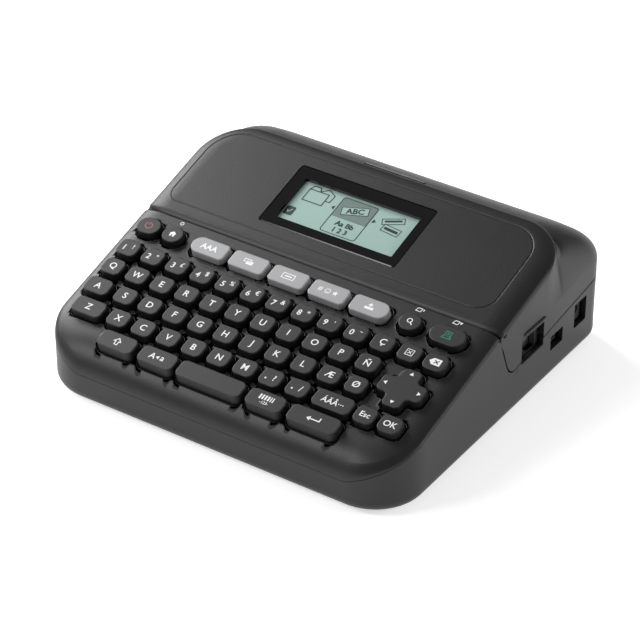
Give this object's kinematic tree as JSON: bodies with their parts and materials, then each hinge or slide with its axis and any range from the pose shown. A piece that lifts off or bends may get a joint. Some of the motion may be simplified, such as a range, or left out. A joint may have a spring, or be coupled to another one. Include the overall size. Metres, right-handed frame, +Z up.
{
  "type": "label maker",
  "caption": "Desktop label maker with a sloping keyboard, a display in its hinged rear lid, a tape exit with cutter on the right side and a cassette bay inside.",
  "frame": {"origin": "middle of the footprint, on the surface that the feet stand on", "axes": "+X to the user's right along the keyboard, +Y to the back, +Z up"},
  "size_m": [0.188, 0.178, 0.07],
  "materials": {
    "brass": "turned",
    "case_plastic": "fine spark-eroded texture, satin",
    "cassette_plastic": "grey-white moulded",
    "cell_jacket": "printed cell jacket",
    "circuit_board": "green solder mask",
    "display_glass": "reflective grey-green liquid crystal",
    "foot_rubber": "moulded pads",
    "frame_plastic": "plain moulded",
    "gear_plastic": "natural acetal",
    "grey_key_plastic": "light grey moulded caps",
    "key_plastic": "soft-touch moulded caps with printed legends",
    "lid_plastic": "fine spark-eroded texture, satin",
    "roller_rubber": "ground",
    "silicone": "moulded mat",
    "steel": "drawn and ground",
    "tape": "laminated white tape",
    "window_gloss": "polished black printed window"
  },
  "bodies": {
    "base": {"lower_case": "case_plastic", "foot_pads": "foot_rubber", "batteries": "cell_jacket", "battery_contacts": "steel", "cassette_bay": "frame_plastic", "bay_screws": "steel", "hinge_pins": "steel", "keyboard_panel": "case_plastic", "key_mat": "silicone", "key_board": "circuit_board", "cassette_base": "cassette_plastic", "cassette_cover": "cassette_plastic", "label_tape": "tape", "drive_motor": "steel", "cutter_frame": "frame_plastic", "dc_jack": "frame_plastic", "usb_port": "steel"},
    "lid": {"display_fascia": "lid_plastic", "rear_cover": "lid_plastic", "display_window": "window_gloss", "lcd_module": "display_glass", "display_board": "circuit_board"},
    "release_button": {"release_button": "lid_plastic"},
    "battery_door": {"battery_door": "case_plastic"},
    "dpad_gimbal": {"dpad_pivot": "frame_plastic"},
    "dpad": {"dpad": "key_plastic"},
    "head_arm": {"head_arm": "steel", "print_head": "steel"},
    "platen": {"platen_roller": "roller_rubber", "platen_gear": "gear_plastic"},
    "idler_1": {"idler_gear_1": "gear_plastic"},
    "idler_2": {"idler_gear_2": "gear_plastic"},
    "takeup": {"takeup_spindle": "gear_plastic", "ribbon_takeup_spool": "frame_plastic"},
    "motor_rotor": {"motor_pinion": "brass"},
    "tape_spool": {"tape_spool": "tape"},
    "ribbon_supply": {"ribbon_supply_spool": "frame_plastic"},
    "cutter_blade": {"cutter_blade": "steel"},
    "power_key": {"power_key": "key_plastic"},
    "home_key": {"home_key": "key_plastic"},
    "text_key": {"text_key": "grey_key_plastic"},
    "frame_key": {"frame_key": "grey_key_plastic"},
    "label_key": {"label_key": "grey_key_plastic"},
    "symbol_key": {"symbol_key": "grey_key_plastic"},
    "file_key": {"file_key": "grey_key_plastic"},
    "preview_key": {"preview_key": "key_plastic"},
    "print_key": {"print_key": "key_plastic"},
    "digit_keys": {"digit_keys": "key_plastic"},
    "backspace_key": {"backspace_key": "key_plastic"},
    "upper_letter_keys": {"upper_letter_keys": "key_plastic"},
    "middle_letter_keys": {"middle_letter_keys": "key_plastic"},
    "lower_letter_keys": {"lower_letter_keys": "key_plastic"},
    "accent_key": {"accent_key": "key_plastic"},
    "escape_key": {"escape_key": "key_plastic"},
    "ok_key": {"ok_key": "key_plastic"},
    "shift_key": {"shift_key": "key_plastic"},
    "caps_key": {"caps_key": "key_plastic"},
    "space_key": {"space_key": "key_plastic"},
    "barcode_key": {"barcode_key": "key_plastic"},
    "enter_key": {"enter_key": "key_plastic"}
  },
  "joints": [
    {"name": "lid_hinge", "type": "hinge", "parent": "base", "child": "lid", "pos_m": [0, -0.0008, 0.04861], "axis": [1, 0, 0], "range_deg": [0, 70]},
    {"name": "release_press", "type": "slide", "parent": "lid", "child": "release_button", "axis": [0, -0.454, -0.891], "range_m": [0, 0.0015], "stiffness_N_per_m": 400, "springref_m": -0.001},
    {"name": "battery_door_slide", "type": "slide", "parent": "base", "child": "battery_door", "axis": [0, 1, 0], "range_m": [0, 0.0045]},
    {"name": "power_key_press", "type": "slide", "parent": "base", "child": "power_key", "axis": [0, 0.2785, -0.9604], "range_m": [0, 0.0015], "stiffness_N_per_m": 300, "springref_m": -0.001},
    {"name": "home_key_press", "type": "slide", "parent": "base", "child": "home_key", "axis": [0, 0.2785, -0.9604], "range_m": [0, 0.0015], "stiffness_N_per_m": 300, "springref_m": -0.001},
    {"name": "text_key_press", "type": "slide", "parent": "base", "child": "text_key", "axis": [0, 0.2785, -0.9604], "range_m": [0, 0.0015], "stiffness_N_per_m": 300, "springref_m": -0.001},
    {"name": "frame_key_press", "type": "slide", "parent": "base", "child": "frame_key", "axis": [0, 0.2785, -0.9604], "range_m": [0, 0.0015], "stiffness_N_per_m": 300, "springref_m": -0.001},
    {"name": "label_key_press", "type": "slide", "parent": "base", "child": "label_key", "axis": [0, 0.2785, -0.9604], "range_m": [0, 0.0015], "stiffness_N_per_m": 300, "springref_m": -0.001},
    {"name": "symbol_key_press", "type": "slide", "parent": "base", "child": "symbol_key", "axis": [0, 0.2785, -0.9604], "range_m": [0, 0.0015], "stiffness_N_per_m": 300, "springref_m": -0.001},
    {"name": "file_key_press", "type": "slide", "parent": "base", "child": "file_key", "axis": [0, 0.2785, -0.9604], "range_m": [0, 0.0015], "stiffness_N_per_m": 300, "springref_m": -0.001},
    {"name": "preview_key_press", "type": "slide", "parent": "base", "child": "preview_key", "axis": [0, 0.2785, -0.9604], "range_m": [0, 0.0015], "stiffness_N_per_m": 300, "springref_m": -0.001},
    {"name": "print_key_press", "type": "slide", "parent": "base", "child": "print_key", "axis": [0, 0.2785, -0.9604], "range_m": [0, 0.0015], "stiffness_N_per_m": 300, "springref_m": -0.001},
    {"name": "digit_keys_press", "type": "slide", "parent": "base", "child": "digit_keys", "axis": [0, 0.2785, -0.9604], "range_m": [0, 0.0015], "stiffness_N_per_m": 300, "springref_m": -0.001},
    {"name": "backspace_key_press", "type": "slide", "parent": "base", "child": "backspace_key", "axis": [0, 0.2785, -0.9604], "range_m": [0, 0.0015], "stiffness_N_per_m": 300, "springref_m": -0.001},
    {"name": "upper_letter_keys_press", "type": "slide", "parent": "base", "child": "upper_letter_keys", "axis": [0, 0.2785, -0.9604], "range_m": [0, 0.0015], "stiffness_N_per_m": 300, "springref_m": -0.001},
    {"name": "middle_letter_keys_press", "type": "slide", "parent": "base", "child": "middle_letter_keys", "axis": [0, 0.2785, -0.9604], "range_m": [0, 0.0015], "stiffness_N_per_m": 300, "springref_m": -0.001},
    {"name": "lower_letter_keys_press", "type": "slide", "parent": "base", "child": "lower_letter_keys", "axis": [0, 0.2785, -0.9604], "range_m": [0, 0.0015], "stiffness_N_per_m": 300, "springref_m": -0.001},
    {"name": "accent_key_press", "type": "slide", "parent": "base", "child": "accent_key", "axis": [0, 0.2785, -0.9604], "range_m": [0, 0.0015], "stiffness_N_per_m": 300, "springref_m": -0.001},
    {"name": "escape_key_press", "type": "slide", "parent": "base", "child": "escape_key", "axis": [0, 0.2785, -0.9604], "range_m": [0, 0.0015], "stiffness_N_per_m": 300, "springref_m": -0.001},
    {"name": "ok_key_press", "type": "slide", "parent": "base", "child": "ok_key", "axis": [0, 0.2785, -0.9604], "range_m": [0, 0.0015], "stiffness_N_per_m": 300, "springref_m": -0.001},
    {"name": "shift_key_press", "type": "slide", "parent": "base", "child": "shift_key", "axis": [0, 0.2785, -0.9604], "range_m": [0, 0.0015], "stiffness_N_per_m": 300, "springref_m": -0.001},
    {"name": "caps_key_press", "type": "slide", "parent": "base", "child": "caps_key", "axis": [0, 0.2785, -0.9604], "range_m": [0, 0.0015], "stiffness_N_per_m": 300, "springref_m": -0.001},
    {"name": "space_key_press", "type": "slide", "parent": "base", "child": "space_key", "axis": [0, 0.2785, -0.9604], "range_m": [0, 0.0015], "stiffness_N_per_m": 300, "springref_m": -0.001},
    {"name": "barcode_key_press", "type": "slide", "parent": "base", "child": "barcode_key", "axis": [0, 0.2785, -0.9604], "range_m": [0, 0.0015], "stiffness_N_per_m": 300, "springref_m": -0.001},
    {"name": "enter_key_press", "type": "slide", "parent": "base", "child": "enter_key", "axis": [0, 0.2785, -0.9604], "range_m": [0, 0.0015], "stiffness_N_per_m": 300, "springref_m": -0.001},
    {"name": "dpad_tilt_front_back", "type": "hinge", "parent": "base", "child": "dpad_gimbal", "pos_m": [0.0732, -0.04749, 0.03398], "axis": [1, 0, 0], "range_deg": [-3, 3], "stiffness_Nm_per_rad": 0.05},
    {"name": "dpad_tilt_side", "type": "hinge", "parent": "dpad_gimbal", "child": "dpad", "pos_m": [0.0732, -0.04749, 0.03398], "axis": [0, 0.9604, 0.2785], "range_deg": [-3, 3], "stiffness_Nm_per_rad": 0.05},
    {"name": "head_arm_swing", "type": "hinge", "parent": "base", "child": "head_arm", "pos_m": [0.086, 0.012, 0.03], "axis": [0, 0, 1], "range_deg": [0, 7]},
    {"name": "idler_1_spin", "type": "hinge", "parent": "base", "child": "idler_1", "pos_m": [0.066, -0.0013, 0.018], "axis": [0, 0, 1], "continuous": true},
    {"name": "motor_spin", "type": "hinge", "parent": "base", "child": "motor_rotor", "pos_m": [0.06, -0.015, 0.018], "axis": [0, 0, 1], "continuous": true},
    {"name": "idler_2_spin", "type": "hinge", "parent": "base", "child": "idler_2", "pos_m": [0.072, 0.0146, 0.018], "axis": [0, 0, 1], "continuous": true},
    {"name": "platen_spin", "type": "hinge", "parent": "base", "child": "platen", "pos_m": [0.076, 0.0268, 0.018], "axis": [0, 0, 1], "continuous": true},
    {"name": "takeup_spin", "type": "hinge", "parent": "base", "child": "takeup", "pos_m": [0.06, 0.0218, 0.018], "axis": [0, 0, 1], "continuous": true},
    {"name": "tape_spool_spin", "type": "hinge", "parent": "base", "child": "tape_spool", "pos_m": [0.026, 0.035, 0.018], "axis": [0, 0, 1], "continuous": true},
    {"name": "ribbon_supply_spin", "type": "hinge", "parent": "base", "child": "ribbon_supply", "pos_m": [0.056, 0.049, 0.018], "axis": [0, 0, 1], "continuous": true},
    {"name": "cutter_stroke", "type": "slide", "parent": "base", "child": "cutter_blade", "axis": [0, -1, 0], "range_m": [0, 0.0035]}
  ],
  "couplings": [
    {"joint": "motor_spin", "follows": "idler_1_spin", "ratio": -2.6667},
    {"joint": "idler_2_spin", "follows": "idler_1_spin", "ratio": -1.8462},
    {"joint": "platen_spin", "follows": "idler_1_spin", "ratio": 1.6},
    {"joint": "takeup_spin", "follows": "idler_1_spin", "ratio": 1.3333},
    {"joint": "tape_spool_spin", "follows": "idler_1_spin", "ratio": 0.32},
    {"joint": "ribbon_supply_spin", "follows": "idler_1_spin", "ratio": 0.65882}
  ]
}
